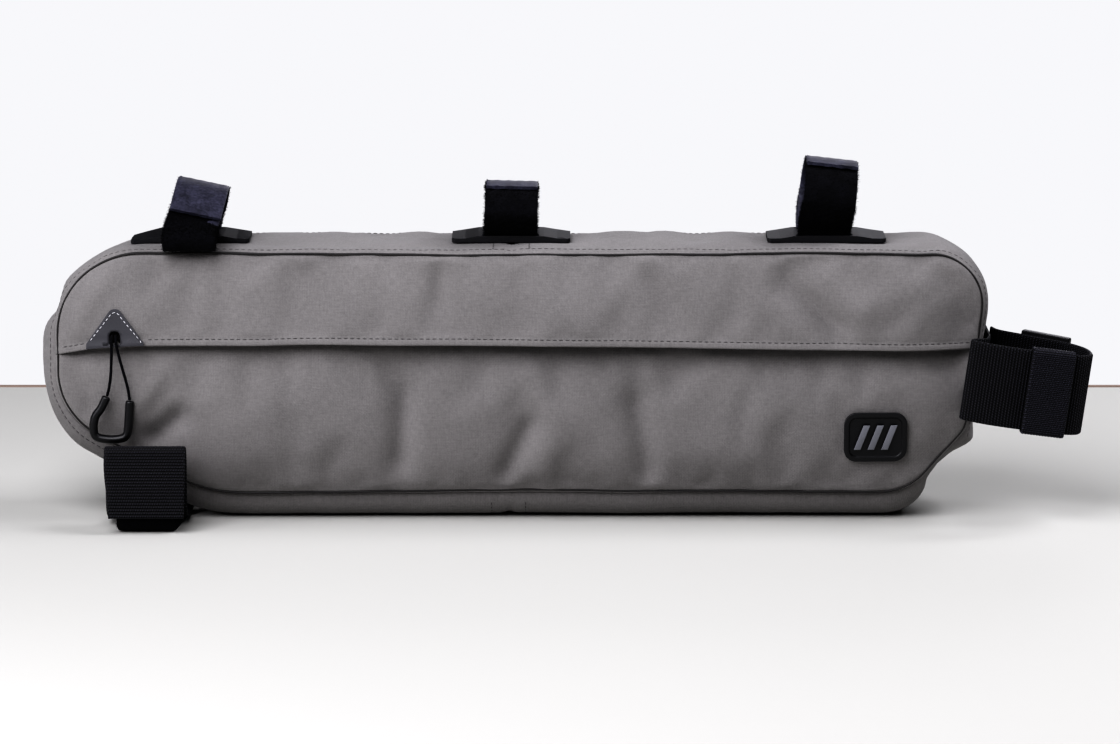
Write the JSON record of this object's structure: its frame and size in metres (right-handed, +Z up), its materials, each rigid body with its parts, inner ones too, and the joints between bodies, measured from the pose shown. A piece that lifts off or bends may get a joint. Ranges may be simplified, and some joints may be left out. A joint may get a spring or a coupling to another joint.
{
  "type": "bicycle frame bag",
  "caption": "Long soft frame bag with a storm flap over its zip, hook-and-loop straps on top and ribbed webbing loops at both ends.",
  "frame": {"origin": "on the flat band that the bag stands on, under the middle of the bag's length and depth", "axes": "+X along the bag towards the end with the buckled webbing loop, -Y out of the front with the zip, +Z up towards the hook-and-loop straps"},
  "size_m": [0.4994, 0.1019, 0.1716],
  "materials": {
    "bag_canvas": "coated plain-weave nylon canvas, matt",
    "zip_nylon": "coil zip, satin",
    "garage_rubber": "smooth satin sheet",
    "cord_braid": "thin braided cord",
    "moulded_plastic": "moulded, satin",
    "patch_laminate": "laminated pad, satin",
    "hook_and_loop": "fuzzy hook-and-loop tape",
    "ribbed_webbing": "ribbed woven webbing",
    "badge_rubber": "moulded soft rubber",
    "badge_grey": "moulded soft rubber"
  },
  "bodies": {
    "root": {"front_upper_panel": "bag_canvas", "front_lower_panel": "bag_canvas", "back_panel": "bag_canvas", "gusset_right_half": "bag_canvas", "gusset_left_half": "bag_canvas", "zip_tape": "zip_nylon", "zip_coil": "zip_nylon", "zip_slider": "moulded_plastic", "zip_garage": "garage_rubber", "pull_cord_left": "cord_braid", "pull_cord_right": "cord_braid", "pull_grip": "moulded_plastic", "top_patch_left": "patch_laminate", "top_patch_middle": "patch_laminate", "top_patch_right": "patch_laminate", "top_loop_left": "hook_and_loop", "top_loop_middle": "hook_and_loop", "top_loop_right": "hook_and_loop", "left_webbing_strap": "ribbed_webbing", "left_loop_tab": "hook_and_loop", "right_webbing_strap": "ribbed_webbing", "strap_keeper": "ribbed_webbing", "strap_buckle": "moulded_plastic", "badge_plate": "badge_rubber", "badge_bar_1": "badge_grey", "badge_bar_2": "badge_grey", "badge_bar_3": "badge_grey"}
  },
  "joints": []
}
